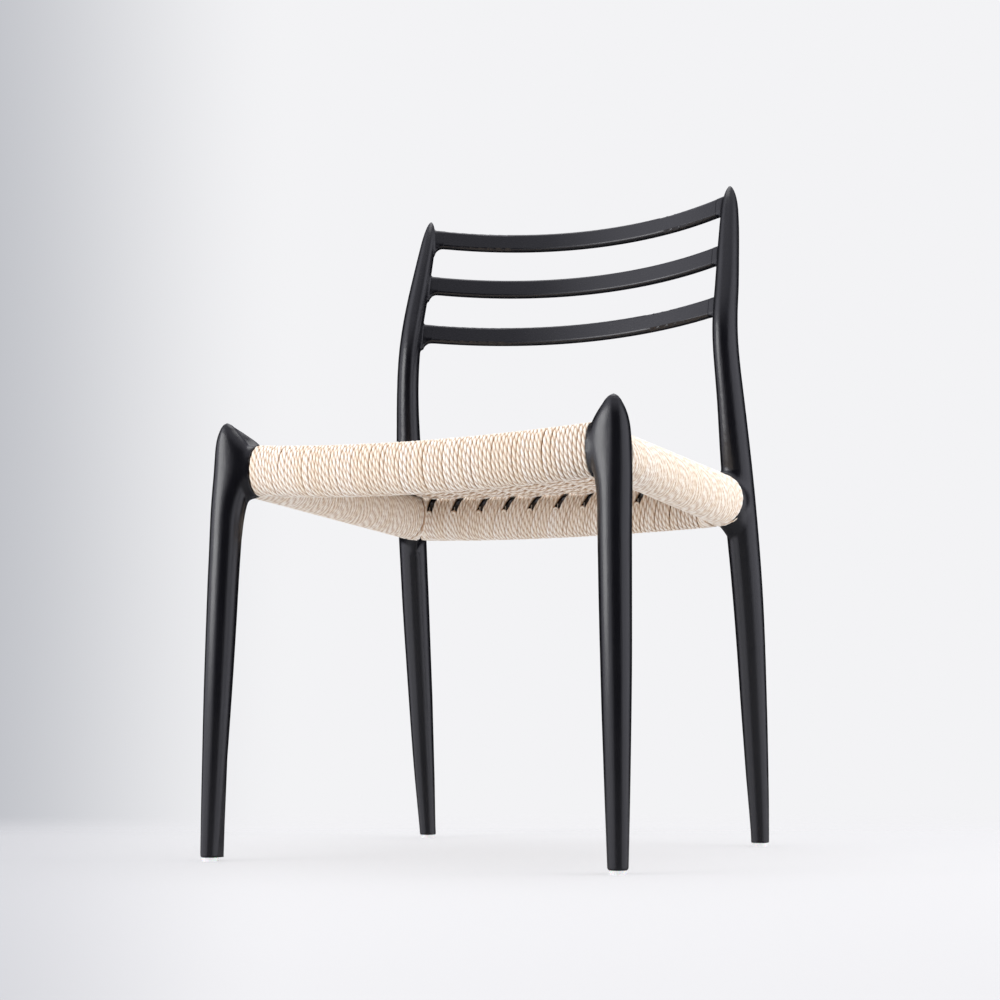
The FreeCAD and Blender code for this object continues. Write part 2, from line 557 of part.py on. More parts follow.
# Glides: a low plastic foot under each leg, held by one nail in a counterbore.
glide_nails = []
for leg in ("front", "rear"):
    for side_name, side in sides:
        x = "%d * %s" % (side, size(leg + "_foot_out"))
        y = size(leg + "_foot_back")
        mark = "%s_%s" % (leg, side_name)
        foot = document.addObject("Part::Cone", "glide_foot_" + mark)
        foot.setExpression("Radius1", size("glide_foot_radius"))
        foot.setExpression("Radius2", size("glide_top_radius"))
        foot.setExpression("Height", size("glide_tall"))
        place(foot, x, y, "0")
        bore = rod("glide_bore_" + mark, "%s + %s" % (size("glide_head_radius"), size("glide_nail_gap")),
                   "%s + %s" % (size("glide_head_level"), size("glide_head_tall")), x, y, "0")
        nodes.append(("%s_glide_%s" % (leg, side_name),
                      cut("glide_bored_" + mark, foot, [bore, glide_hole("glide_hole_" + mark, side, leg)])))
        head = rod("glide_head_" + mark, size("glide_head_radius"), size("glide_head_tall"), x, y,
                   size("glide_head_level"))
        shank = rod("glide_shank_" + mark, size("glide_nail_radius"), size("glide_nail_long"), x, y,
                    size("glide_head_level"))
        glide_nails += [head, shank]
nodes.append(("glide_nails", fuse("glide_nails_all", glide_nails)))

document.recompute()
for thing in document.Objects:
    if "Invalid" in thing.State or "Error" in thing.State:
        raise RuntimeError("%s did not build" % thing.Name)
os.makedirs("parts", exist_ok=True)
for label, thing in nodes:
    thing.Label = label
    if thing.Shape.isNull() or not thing.Shape.isValid():
        raise RuntimeError("%s has no valid shape" % label)
    thing.Shape.exportStep("parts/%s.step" % label)
    box = thing.Shape.BoundBox
    print("%-20s solids %2d volume %9.0f  x %.1f %.1f  y %.1f %.1f  z %.1f %.1f" % (
        label, len(thing.Shape.Solids), thing.Shape.Volume, box.XMin, box.XMax, box.YMin, box.YMax,
        box.ZMin, box.ZMax))
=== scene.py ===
import bmesh
import bpy
import math
from mathutils import Matrix
import numpy as np


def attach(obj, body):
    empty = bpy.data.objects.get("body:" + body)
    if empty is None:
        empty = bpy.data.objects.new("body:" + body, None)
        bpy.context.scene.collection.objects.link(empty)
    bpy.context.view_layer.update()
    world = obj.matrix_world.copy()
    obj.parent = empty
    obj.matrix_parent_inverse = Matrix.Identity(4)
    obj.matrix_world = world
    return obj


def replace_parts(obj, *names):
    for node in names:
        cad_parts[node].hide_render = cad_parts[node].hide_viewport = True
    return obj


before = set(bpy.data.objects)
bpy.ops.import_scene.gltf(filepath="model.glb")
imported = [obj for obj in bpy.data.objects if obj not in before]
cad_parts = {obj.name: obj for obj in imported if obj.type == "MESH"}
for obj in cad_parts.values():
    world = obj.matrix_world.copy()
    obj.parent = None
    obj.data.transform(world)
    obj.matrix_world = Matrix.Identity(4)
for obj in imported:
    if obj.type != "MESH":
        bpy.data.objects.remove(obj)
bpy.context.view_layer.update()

# Front legs: each is turned from one length of ash, thickest under the seat and drawn to a soft point
# above it, with two flares left on the wood that take the rails. The flares are rubbed into the shaft
# until no edge is left, then the leg is stained black and sprayed with satin lacquer.
mm = 0.001


def linear(code):
    """sRGB hex to linear light: v / 12.92 near black, otherwise ((v + 0.055) / 1.055) to the power 2.4."""
    value = np.array([int(code[place:place + 2], 16) for place in (1, 3, 5)]) / 255
    light = np.where(value <= 0.04045, value / 12.92, ((value + 0.055) / 1.055) ** 2.4)
    return (*light.tolist(), 1.0)


def add_node(material, kind, settings, sockets):
    """One shader node with its settings. A socket takes a value, or the output that feeds it."""
    node = material.node_tree.nodes.new("ShaderNode" + kind)
    for name, value in settings.items():
        setattr(node, name, value)
    for name, value in sockets.items():
        if isinstance(value, bpy.types.NodeSocket):
            material.node_tree.links.new(value, node.inputs[name])
        else:
            node.inputs[name].default_value = value
    return node


def new_material(name):
    """A material with no nodes in it yet."""
    material = bpy.data.materials.new(name)
    material.use_nodes = True
    material.node_tree.nodes.clear()
    return material


def black_lacquered_ash(name, grain):
    """Open-pored ash under black stain and satin lacquer: the pores stay as fine lines along the grain.

    grain holds the size in mm of one streak along x, y and z.
    """
    material = new_material(name)
    place = add_node(material, "TexCoord", {}, {})
    fit = add_node(material, "Mapping", {}, {"Vector": place.outputs["Object"],
                                             "Scale": tuple(1 / (size * mm) for size in grain)})
    pores = add_node(material, "TexNoise", {}, {"Vector": fit.outputs[0], "Scale": 1.0, "Detail": 4.0,
                                                "Roughness": 0.65})
    cloud = add_node(material, "TexNoise", {}, {"Vector": place.outputs["Object"], "Scale": 1 / (45 * mm),
                                                "Detail": 2.0})
    stain = add_node(material, "Mix", {"data_type": "RGBA"},
                     {0: pores.outputs["Fac"], 6: linear("#08080b"), 7: linear("#121218")})
    open_pore = add_node(material, "MapRange", {}, {"Value": pores.outputs["Fac"], "From Min": 0.36,
                                                    "From Max": 0.5, "To Min": 0.0, "To Max": 1.0})
    gloss = add_node(material, "MapRange", {}, {"Value": cloud.outputs["Fac"], "From Min": 0.3,
                                                "From Max": 0.7, "To Min": 0.2, "To Max": 0.26})
    relief = add_node(material, "Bump", {}, {"Height": open_pore.outputs[0], "Strength": 0.22,
                                             "Distance": 0.12 * mm})
    surface = add_node(material, "BsdfPrincipled", {},
                       {"Base Color": stain.outputs[2], "Roughness": gloss.outputs[0], "IOR": 1.5,
                        "Normal": relief.outputs[0]})
    add_node(material, "OutputMaterial", {}, {"Surface": surface.outputs[0]})
    return material


def ramp(value, low, high):
    """0 below low and 1 above high, eased between by 3 t squared less 2 t cubed."""
    share = np.clip((value - low) / (high - low), 0, 1)
    return share * share * (3 - 2 * share)


def smooth(levels, values, at):
    """Values between stations: on each piece the cubic that has the stations' values and slopes."""
    slope = np.gradient(values, levels)
    piece = np.clip(np.searchsorted(levels, at) - 1, 0, len(levels) - 2)
    gap = levels[piece + 1] - levels[piece]
    share = (at - levels[piece]) / gap
    rest = 1 - share
    return (values[piece] * (1 + 2 * share) * rest ** 2 + values[piece + 1] * (3 - 2 * share) * share ** 2
            + gap * share * rest * (slope[piece] * rest - slope[piece + 1] * share))


def drawn_out(middle, radius, end, end_radius, angle):
    """Distance from a shaft's middle to a skin drawn tight over its round and a second round beside it.

    With c between the middles and t the angle whose cosine is (radius - end_radius) / c, the skin is the
    shaft beyond t, the straight line radius / cos(angle - t) next to it, and the second round at the front.
    """
    aside, ahead = end[0] - middle[0], end[1] - middle[1]
    apart = np.maximum(np.hypot(aside, ahead), 0.01)
    turn = np.abs((angle - np.arctan2(ahead, aside) + math.pi) % (2 * math.pi) - math.pi)
    touch = np.arccos(np.clip((radius - end_radius) / apart, -1, 1))
    tip = np.arctan2(end_radius * np.sin(touch), apart + end_radius * np.cos(touch))
    line = radius / np.maximum(np.cos(turn - touch), 0.05)
    front = apart * np.cos(turn) + np.sqrt(np.maximum(end_radius ** 2 - (apart * np.sin(turn)) ** 2, 0))
    skin = np.where(turn > touch, radius, np.where(turn > tip, line, front))
    return np.where(apart + end_radius > radius, skin, radius)


def flare(level, rail_end, tip):
    """A flare at each level: how far it goes from shaft to rail, how round it ends, how far above it is.

    It goes all the way over the rail's height and falls straight to the leg's tip above. Below, one part
    of its way ends within 2 mm, one fades over 25 mm, and the rest dies with the round end.
    """
    crest_below_top = 4
    least_round = 5.5
    middle, up, down = rail_end["level"], rail_end["up"], rail_end["down"]
    crest = middle + up - crest_below_top
    above = np.clip((level - crest) / (tip - crest), 0, 1)
    below = np.clip(middle - down - level, 0, None)
    oval = np.sqrt(np.clip(1 - ((level - middle) / np.where(level > middle, up, down)) ** 2, 0, 1))
    share = 0.31 + 0.24 * np.exp(-below / 25) + 0.45 * np.exp(-below / 2)
    round_end = np.maximum(rail_end["half_thick"] * oval, least_round * np.sqrt(1 - above))
    return share * (1 - above), round_end * (1 - ramp(below, 40, 120)), above


# Level, radius, distance out and distance back of the shaft's middle, in mm.
leg_stations = np.array([
    (4, 10.4, 234.9, -251.7), (58, 12.1, 234.1, -249.7), (108, 13.5, 233.3, -247.8),
    (158, 14.8, 232.5, -246.0), (208, 15.8, 231.7, -244.1), (258, 16.5, 230.8, -242.4),
    (308, 17.0, 230.0, -240.6), (330, 17.2, 229.6, -239.6), (354, 17.5, 229.3, -238.4),
    (378, 17.8, 229.0, -237.0), (395, 17.6, 228.9, -235.8), (421, 16.8, 228.7, -234.3),
    (436, 16.1, 228.7, -234.2), (448, 14.8, 228.8, -235.0), (458, 12.4, 229.0, -236.3),
    (466, 9.1, 229.1, -237.5), (471, 6.2, 229.2, -238.2), (474, 3.4, 229.2, -238.6),
    (475.4, 0.7, 229.2, -238.7)])
# Level, and how far the head swells towards the front rail's end, in mm.
head_stations = np.array([
    (300, 16.9), (340, 17.5), (378, 19.0), (390, 21.0), (400, 23.6), (411, 26.4), (425, 28.2),
    (438, 27.6), (447, 24.8), (458, 18.2), (466, 12.0), (471, 8.0), (474, 4.0), (475.4, 0.7)])
# The ends of the front rail and the side rail, in mm. Lift is how far a flare moves back as it rises.
side_slant = math.radians(14.5)
rail_ends = (
    {"out": 199.2, "back": -220, "lift": 8, "level": 423, "up": 27.8, "down": 27.8, "half_thick": 21.4,
     "facing": (-1, 0)},
    {"out": 211.5, "back": -201.2, "lift": 0, "level": 416.7, "up": 28.3, "down": 20.5, "half_thick": 23.5,
     "facing": (math.sin(side_slant), math.cos(side_slant))},
)
leg_sides = 120
leg_foot = leg_stations[0, 0]
leg_tip = leg_stations[-1, 0]
head_start = head_stations[0, 0]
foot_rounded_to = 7
foot_round = 2.2
no_limit = 9999
levels = np.concatenate([np.linspace(leg_foot, foot_rounded_to, 7), np.linspace(10, head_start, 60),
                         np.linspace(302, 460, 120), np.linspace(460.7, leg_tip, 31)])
radius, middle_x, middle_y = (smooth(leg_stations[:, 0], leg_stations[:, column], levels)[:, None]
                              for column in (1, 2, 3))
rounded = np.clip((foot_rounded_to - levels) / (foot_rounded_to - leg_foot), 0, 1)
radius -= foot_round * (1 - np.sqrt(1 - rounded ** 2))[:, None]
angle = np.arange(leg_sides)[None, :] * 2 * math.pi / leg_sides
cosine = np.cos(angle)
sine = np.sin(angle)
swell = smooth(head_stations[:, 0], head_stations[:, 1], np.maximum(levels, head_start))[:, None]
swell = np.where((cosine < 0) & (levels[:, None] > head_start), np.maximum(swell, radius), radius)
oval = swell * radius / np.hypot(radius * cosine, swell * sine)
# The two flares and the swell run together as the eighth root of a sum of powers, and end at the rails.
flares = 0
limit = no_limit
for rail_end in rail_ends:
    share, round_end, above = flare(levels[:, None], rail_end, leg_tip)
    lifted = rail_end["back"] + rail_end["lift"] * ramp(above, 0, 0.4)
    end = (middle_x + (rail_end["out"] - middle_x) * share, middle_y + (lifted - middle_y) * share)
    flares = flares + (drawn_out((middle_x, middle_y), radius, end, round_end, angle) - radius) ** 4
    aside, ahead = rail_end["facing"]
    towards = cosine * aside + sine * ahead
    gap = (rail_end["out"] - middle_x) * aside + (rail_end["back"] - middle_y) * ahead
    limit = np.minimum(limit, np.where(towards > 0.05, gap / np.maximum(towards, 0.05), no_limit))
reach = np.minimum(radius + ((oval - radius) ** 8 + flares ** 2) ** 0.125, limit)
rings = np.stack([middle_x + reach * cosine, middle_y + reach * sine,
                  np.broadcast_to(levels[:, None], reach.shape)], -1).reshape(-1, 3) * mm
low = np.arange(len(levels) - 1)[:, None] * leg_sides
high = low + leg_sides
corner = np.arange(leg_sides)[None, :]
next_corner = (corner + 1) % leg_sides
quads = np.stack([low + corner, low + next_corner, high + next_corner, high + corner], -1)
quads = quads.reshape(-1, 4).tolist()
caps = [list(range(leg_sides))[::-1], list(range(len(rings) - leg_sides, len(rings)))]
leg_lacquer = black_lacquered_ash("black_lacquered_ash_leg", (0.9, 0.9, 70))
for side, sign in (("left", -1), ("right", 1)):
    node = "front_leg_" + side
    mesh = bpy.data.meshes.new(node + "_turned")
    faces = [face[::sign] for face in quads + caps]
    mesh.from_pydata((rings * (sign, 1, 1)).tolist(), [], faces)
    mesh.shade_smooth()
    mesh.set_sharp_from_angle(angle=math.radians(50))
    mesh.materials.append(leg_lacquer)
    leg = bpy.data.objects.new(node + "_turned", mesh)
    bpy.context.scene.collection.objects.link(leg)
    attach(leg, "root")
    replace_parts(leg, node)

# Rear legs: sawn from wide ash with a bend at the seat, shaped oval and pointed like the front ones. The
# back slats are let into them, and the web under each slat is rubbed into the post, so that the black
# lacquer runs on from post to slat without a seam.
def joined_copy(node, beyond=None):
    """Loose triangles of a solid merged into a closed shell.

    beyond is a plane across the chair: what lies nearer to the middle is cut off and the cut is closed.
    """
    shell = bmesh.new()
    shell.from_mesh(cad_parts[node].data)
    bmesh.ops.remove_doubles(shell, verts=shell.verts, dist=0.01 * mm)
    if beyond is not None:
        cut = bmesh.ops.bisect_plane(shell, geom=[*shell.verts, *shell.edges, *shell.faces],
                                     plane_co=(beyond, 0, 0), plane_no=(math.copysign(1, beyond), 0, 0),
                                     clear_inner=True)
        rim = [edge for edge in cut["geom_cut"] if isinstance(edge, bmesh.types.BMEdge)]
        bmesh.ops.holes_fill(shell, edges=rim)
    return shell


def rubbed_down(name, shells, cell, filling):
    """One skin over several shells that overlap, with the inner corners filled to a hollow curve.

    The shells are resampled on cells of one size and the steps are evened out by pulling each point in
    and out again. Then a point in a hollow moves out along its normal, half of the way to the mean of
    its neighbours, round after round, by a weight from 0 to 1 that filling gives for its place.
    """
    rough = bpy.data.meshes.new(name + "_rough")
    whole = bmesh.new()
    for shell in shells:
        part = bpy.data.meshes.new(name + "_part")
        shell.to_mesh(part)
        shell.free()
        whole.from_mesh(part)
        bpy.data.meshes.remove(part)
    whole.to_mesh(rough)
    whole.free()
    piece = bpy.data.objects.new(name, rough)
    bpy.context.scene.collection.objects.link(piece)
    skin = piece.modifiers.new("skin", "REMESH")
    skin.mode = "VOXEL"
    skin.voxel_size = cell
    graph = bpy.context.evaluated_depsgraph_get()
    mesh = bpy.data.meshes.new_from_object(piece.evaluated_get(graph))
    piece.modifiers.clear()
    piece.data = mesh
    bpy.data.meshes.remove(rough)
    mesh.name = name
    points = np.empty(len(mesh.vertices) * 3)
    mesh.vertices.foreach_get("co", points)
    points = points.reshape(-1, 3)
    ends = np.empty(len(mesh.edges) * 2, int)
    mesh.edges.foreach_get("vertices", ends)
    first, second = ends.reshape(-1, 2).T
    near = np.concatenate([first, second])
    far = np.concatenate([second, first])
    count = np.bincount(near, minlength=len(points))

    def pull(points):
        """From each point to the mean of its neighbours."""
        mean = np.stack([np.bincount(near, points[far, axis], len(points)) for axis in range(3)], 1)
        return mean / count[:, None] - points

    in_and_out = (0.5, -0.52)
    for strength in in_and_out * 8:
        points = points + strength * pull(points)
    normals = np.empty(len(points) * 3, np.float32)
    for rounds, weight in filling(points):
        for turn in range(rounds):
            if turn % 8 == 0:
                mesh.vertices.foreach_set("co", points.ravel())
                mesh.update()
                mesh.vertex_normals.foreach_get("vector", normals)
                out = normals.reshape(-1, 3).astype(float)
            lift = np.clip((pull(points) * out).sum(1), 0, None)
            points = points + (0.5 * weight * lift)[:, None] * out
    for strength in in_and_out * 3:
        points = points + strength * pull(points)
    mesh.vertices.foreach_set("co", points.ravel())
    mesh.shade_smooth()
    mesh.update()
    return piece


slats = ("top_slat", "middle_slat", "lower_slat")
slat_cut = 187 * mm
slat_cover = 0.3 * mm
skin_cell = 1.4 * mm


def rear_leg_filling(points):
    """The seat joints are filled deeply, the corners where the slats run in only a little."""
    level = points[:, 2]
    seat = ramp(level, 340 * mm, 375 * mm) * ramp(-level, -500 * mm, -465 * mm)
    inner = ramp(-np.abs(points[:, 0]), -212 * mm, -203 * mm)
    back = ramp(level, 600 * mm, 620 * mm) * ramp(-level, -796 * mm, -790 * mm) * inner
    return (12, back), (110, seat)


for side, sign in (("left", -1), ("right", 1)):
    node = "rear_leg_" + side
    shells = [joined_copy(node)]
    shells += [joined_copy(slat, sign * slat_cut) for slat in slats]
    for shell in shells[1:]:
        shell.normal_update()
        for point in shell.verts:
            point.co += point.normal * slat_cover
    leg = rubbed_down(node + "_shaped", shells, skin_cell, rear_leg_filling)
    leg.data.materials.append(leg_lacquer)
    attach(leg, "root")
    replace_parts(leg, node)

# Back slats: three thin ash bars, steamed and bent to the sitter's back, with rounded edges and a tenon
# at each end. Their grain runs across the chair, so the pores show as fine level lines.
slat_lacquer = black_lacquered_ash("black_lacquered_ash_slat", (70, 0.9, 0.9))
for slat in slats:
    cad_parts[slat].material_slots[0].material = slat_lacquer
    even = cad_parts[slat].modifiers.new("even_shading", "WEIGHTED_NORMAL")
    even.keep_sharp = True

# Seat rails: oval ash bars with stub tenons, black like the legs. The cord hides them but for the narrow
# bare slots over the nails. The side rails grow deeper towards the back, so they get a bar of their own.
side_rail_lacquer = black_lacquered_ash("black_lacquered_ash_side_rail", (0.9, 70, 0.9))
for rail in ("front_rail", "rear_rail"):
    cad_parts[rail].material_slots[0].material = slat_lacquer
side_front = {"out": 211.5 * mm, "back": -201 * mm, "level": 416.7 * mm, "slant": -0.2586,
              "drop": 19.5 * mm}
side_rear = {"out": 208 * mm, "back": 150.5 * mm, "level": 410.7 * mm, "slant": 0.2773,
             "drop": 29.5 * mm}
bar_half_thick = 19 * mm
bar_rise = 21 * mm
bar_cover = 4 * mm
bar_sides = 48
angle = np.arange(bar_sides) * 2 * math.pi / bar_sides
for side, sign in (("left", -1), ("right", 1)):
    rings = []
    for end in (side_front, side_rear):
        aside = bar_half_thick * np.cos(angle)
        tall = np.where(np.sin(angle) > 0, bar_rise, end["drop"] - bar_cover)
        rings.append(np.stack([sign * (end["out"] + aside), end["back"] + end["slant"] * aside,
                               end["level"] + tall * np.sin(angle)], 1))
    corner = np.arange(bar_sides)
    next_corner = (corner + 1) % bar_sides
    faces = np.stack([corner, bar_sides + corner, bar_sides + next_corner, next_corner], 1).tolist()
    faces += [list(range(bar_sides)), list(range(bar_sides, 2 * bar_sides))[::-1]]
    mesh = bpy.data.meshes.new(side + "_rail_bar")
    mesh.from_pydata(np.concatenate(rings).tolist(), [], [face[::sign] for face in faces])
    mesh.shade_smooth()
    mesh.set_sharp_from_angle(angle=math.radians(50))
    mesh.materials.append(side_rail_lacquer)
    bar = bpy.data.objects.new(side + "_rail_bar", mesh)
    bpy.context.scene.collection.objects.link(bar)
    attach(bar, "root")
    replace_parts(bar, side + "_rail")

# Cord nails: bent steel wire driven into the inner faces of the front and rear rails. Drawn wire has faint
# lines along it and a dull shine.
nail_wire = new_material("drawn_steel_wire")
place = add_node(nail_wire, "TexCoord", {}, {})
draw = add_node(nail_wire, "TexNoise", {}, {"Vector": place.outputs["Object"], "Scale": 1 / (0.6 * mm)})
dull = add_node(nail_wire, "MapRange", {}, {"Value": draw.outputs["Fac"], "To Min": 0.3, "To Max": 0.5})
steel = add_node(nail_wire, "BsdfPrincipled", {}, {"Base Color": linear("#a3a19c"), "Metallic": 1.0,
                                                   "Roughness": dull.outputs[0]})
add_node(nail_wire, "OutputMaterial", {}, {"Surface": steel.outputs[0]})
for node in ("front_cord_nails", "rear_cord_nails", "glide_nails"):
    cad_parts[node].material_slots[0].material = nail_wire

# Wraps on the front and rear rails: unbleached paper, three plies twisted hard and laid up into a cord.
# It is wound side by side round the rails, six turns between one pair of warp cords and the next. A ply is
# three points of the cord's ring, the last of them in the groove, and goes round once in each lay.
cord_radius = 2.22 * mm
cord_lay = 28 * mm
wrap_spread = 1.2
ring_gap = 1.8 * mm
ply = [1.0, 1.0, 0.8]
lobes = np.tile(ply, 3)
shade_seed = np.random.default_rng(5)


def paper_cord():
    """Twisted kraft paper, creamy and matt, with painted shade: tan in the grooves between plies and on the
    flanks.
    """
    material = new_material("paper_cord")
    place = add_node(material, "TexCoord", {}, {})
    groove_shade = add_node(material, "Attribute", {"attribute_name": "groove_shade"}, {})
    tone = add_node(material, "Attribute", {"attribute_name": "tone"}, {})
    fibre = add_node(material, "TexNoise", {}, {"Vector": place.outputs["Object"], "Scale": 1 / (1.6 * mm),
                                                "Detail": 3.0, "Roughness": 0.6})
    paper = add_node(material, "Mix", {"data_type": "RGBA"},
                     {0: tone.outputs["Fac"], 6: linear("#f3e8d8"), 7: linear("#fcf7ef")})
    fleck = add_node(material, "MapRange", {}, {"Value": fibre.outputs["Fac"], "From Min": 0.52,
                                                "From Max": 0.75, "To Min": 0.0, "To Max": 0.4})
    flecked = add_node(material, "Mix", {"data_type": "RGBA"},
                       {0: fleck.outputs[0], 6: paper.outputs[2], 7: linear("#e6d1b2")})
    # Painted shade: the paper is mixed towards tan in the grooves between plies and on the cord's flanks.
    cord_shade_share = add_node(material, "MapRange", {}, {"Value": groove_shade.outputs["Fac"], "To Max": 0.88})
    shaded = add_node(material, "Mix", {"data_type": "RGBA"},
                      {0: cord_shade_share.outputs[0], 6: flecked.outputs[2], 7: linear("#a67a4c")})
    relief = add_node(material, "Bump", {}, {"Height": fibre.outputs["Fac"], "Strength": 0.25,
                                             "Distance": 0.2 * mm})
    surface = add_node(material, "BsdfPrincipled", {},
                       {"Base Color": shaded.outputs[2], "Roughness": 0.72, "IOR": 1.45,
                        "Normal": relief.outputs[0]})
    add_node(material, "OutputMaterial", {}, {"Surface": surface.outputs[0]})
    return material


def evenly(line, out, closed):
    """Points at even steps along a line, and the direction away from the rail at each of them."""
    if closed:
        line = np.concatenate([line, line[:1]])
        out = np.concatenate([out, out[:1]])
    reach = np.concatenate([[0], np.cumsum(np.linalg.norm(np.diff(line, axis=0), axis=1))])
    steps = max(8, round(reach[-1] / ring_gap))
    place = np.linspace(0, reach[-1], steps, endpoint=not closed)
    line = np.stack([np.interp(place, reach, line[:, axis]) for axis in range(3)], 1)
    out = np.stack([np.interp(place, reach, out[:, axis]) for axis in range(3)], 1)
    return line, out, place, reach[-1]


def twisted(line, out, closed, spread, first):
    """One cord: a ring of three lobes at each step, turned as it goes by one turn in each length of lay.

    A ring's point is the line's point + radius * (cos(angle) * out + wide * sin(angle) * (run x out)).
    wide is how far the cord is pressed wide: spread where it lies flat on the seat, wrap_spread elsewhere.
    Painted shade darkens the cord most on its flanks and nearly as much in the grooves between its plies.
    """
    ply_groove_shade = 0.78
    line, out, place, long = evenly(line, out, closed)
    ahead = np.roll(line, -1, 0) - np.roll(line, 1, 0) if closed else np.gradient(line, axis=0)
    ahead /= np.linalg.norm(ahead, axis=1)[:, None]
    out = out - (out * ahead).sum(1)[:, None] * ahead
    out /= np.linalg.norm(out, axis=1)[:, None]
    aside = np.cross(ahead, out)
    turns = round(long / cord_lay) if closed else long / cord_lay
    sides = len(lobes)
    twist = place / long * turns * 2 * math.pi
    angle = np.arange(sides)[None, :] * 2 * math.pi / sides - twist[:, None]
    angle = angle + 2 * math.pi * first
    wide = wrap_spread + (spread - wrap_spread) * ramp(out[:, 2], 0.9, 1.0)
    height = np.cos(angle)[..., None] * out[:, None]
    width = (wide[:, None] * np.sin(angle))[..., None] * aside[:, None]
    rings = line[:, None] + cord_radius * lobes[None, :, None] * (height + width)
    # Painted shade: tan on the flanks where the cord meets its neighbours, and in the grooves between its
    # plies.
    flank_shade = ramp(np.abs(np.sin(angle)), 0.6, 1.0)
    cord_shade = np.maximum(flank_shade, (1 - lobes) / (1 - lobes.min()) * ply_groove_shade)
    count = len(line)
    ring = np.arange(count if closed else count - 1)[:, None]
    next_ring = (ring + 1) % count
    corner = np.arange(sides)[None, :]
    next_corner = (corner + 1) % sides
    quads = np.stack([ring * sides + corner, ring * sides + next_corner,
                      next_ring * sides + next_corner, next_ring * sides + corner], -1).reshape(-1, 4)
    caps = np.empty((0, sides), int)
    if not closed:
        caps = np.stack([np.arange(sides)[::-1], (count - 1) * sides + np.arange(sides)])
    return rings.reshape(-1, 3), quads, caps, cord_shade.ravel()


def wound_piece(name, cords, closed, spread):
    """All the cords of one piece in a mesh, whose points keep their painted shade and their cord's tone."""
    points, quads, caps, cord_shades, tones = [], [], [], [], []
    start = 0
    for line, out in cords:
        body, sides, ends, cord_shade = twisted(line, out, closed, spread, shade_seed.random())
        points.append(body)
        quads.append(sides + start)
        caps.append(ends + start)
        cord_shades.append(cord_shade)
        tones.append(np.full(len(body), shade_seed.random()))
        start += len(body)
    points = np.concatenate(points)
    quads = np.concatenate(quads)
    caps = np.concatenate(caps)
    mesh = bpy.data.meshes.new(name)
    corners = np.concatenate([quads.ravel(), caps.ravel()])
    starts = np.concatenate([np.arange(len(quads)) * 4, quads.size + np.arange(len(caps)) * len(lobes)])
    mesh.vertices.add(len(points))
    mesh.vertices.foreach_set("co", points.ravel())
    mesh.loops.add(len(corners))
    mesh.loops.foreach_set("vertex_index", corners)
    mesh.polygons.add(len(starts))
    mesh.polygons.foreach_set("loop_start", starts)
    mesh.update(calc_edges=True)
    mesh.shade_smooth()
    for label, values in (("groove_shade", cord_shades), ("tone", tones)):
        mesh.attributes.new(label, "FLOAT", "POINT").data.foreach_set("value", np.concatenate(values))
    mesh.materials.append(cord_paper)
    piece = bpy.data.objects.new(name, mesh)
    bpy.context.scene.collection.objects.link(piece)
    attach(piece, "root")
    return piece


cord_paper = paper_cord()
cross_rails = {
    "front": {"half": 199 * mm, "back": -220 * mm, "bow": -17.5 * mm, "level": 423 * mm, "dip": 9.7 * mm,
              "pitch": 4.5225 * mm, "outer": 3, "lean": 0.0},
    "rear": {"half": 200 * mm, "back": 166 * mm, "bow": 1 * mm, "level": 406.5 * mm, "dip": 4.5 * mm,
             "pitch": 4.4 * mm, "outer": 6, "lean": 0.46},
}
wood_tall = 24 * mm
wood_thick = 17.5 * mm
pair_count = 11
turns_between = 6
pair_step = turns_between + 2
side_rail_inside = 183.5 * mm
lean_level = 9.5 * mm
wrap_sway = 0.7 * mm


def rail_middle(rail, x):
    """Middle of a bowed rail at x: its ends' place and level, and a parabola that is full at the middle."""
    full = 1 - (x / rail["half"]) ** 2
    return rail["back"] + rail["bow"] * full, rail["level"] - rail["dip"] * full


def round_cross_rail(rail, x, angle):
    """A line on the oval round a rail, half a cord off the wood: angle 0 at its back, a quarter at its top.

    The rear rail's turns lean to the right as they rise. Past the side rails' inner faces the turns are
    drawn together on the inner side, so that they miss the side rails.
    """
    y, z = rail_middle(rail, x)
    out = np.stack([np.zeros_like(angle), np.cos(angle) / wood_thick, np.sin(angle) / wood_tall], 1)
    rise = (wood_tall + cord_radius) * np.sin(angle)
    if rail is cross_rails["rear"]:
        past = np.clip(np.abs(x) - side_rail_inside, 0, None)
        x = x - np.sign(x) * past * (0.5 - 0.5 * np.cos(angle))
    lean = rail["lean"] * (1 - (x / rail["half"]) ** 2)
    behind = (wood_thick + cord_radius) * np.cos(angle)
    line = np.stack([x + lean * (rise - lean_level), y + behind, z + rise], 1)
    return line, out / np.linalg.norm(out, axis=1)[:, None]


full_turn = np.linspace(0, 2 * math.pi, 120, endpoint=False)
for end, rail in cross_rails.items():
    first = -(pair_count - 1) / 2 * pair_step - 0.5 - rail["outer"]
    places = first + np.arange((pair_count - 1) * pair_step + 2 + 2 * rail["outer"])
    order = np.round(places - first - rail["outer"]).astype(int)
    plain = (order < 0) | (order > (pair_count - 1) * pair_step + 1) | (order % pair_step > 1)
    cords = []
    for place in places[plain]:
        sway = wrap_sway * np.sin(full_turn + shade_seed.random() * 2 * math.pi) * shade_seed.random()
        cords.append(round_cross_rail(rail, place * rail["pitch"] + sway, full_turn))
    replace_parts(wound_piece(end + "_rail_wraps", cords, True, wrap_spread), end + "_rail_cord")

# Warp: eleven pairs of cords from front to back. Each pair is one loop that hangs on a nail inside the
# front rail, goes under and over that rail, across the seat, round the rear rail and onto the nail there.
weft_count = 78
side_wood_tall = 24.5 * mm
side_wood_thick = 22.5 * mm
weft_pitch = (side_rear["back"] - side_front["back"]) / weft_count
seat_sag = 3 * mm
weft_wave = 2.8 * mm
warp_wave = 1.6 * mm
web_spread = 1.25
free_of_front = (20 * mm, 40 * mm)
free_of_rear = (12 * mm, 30 * mm)


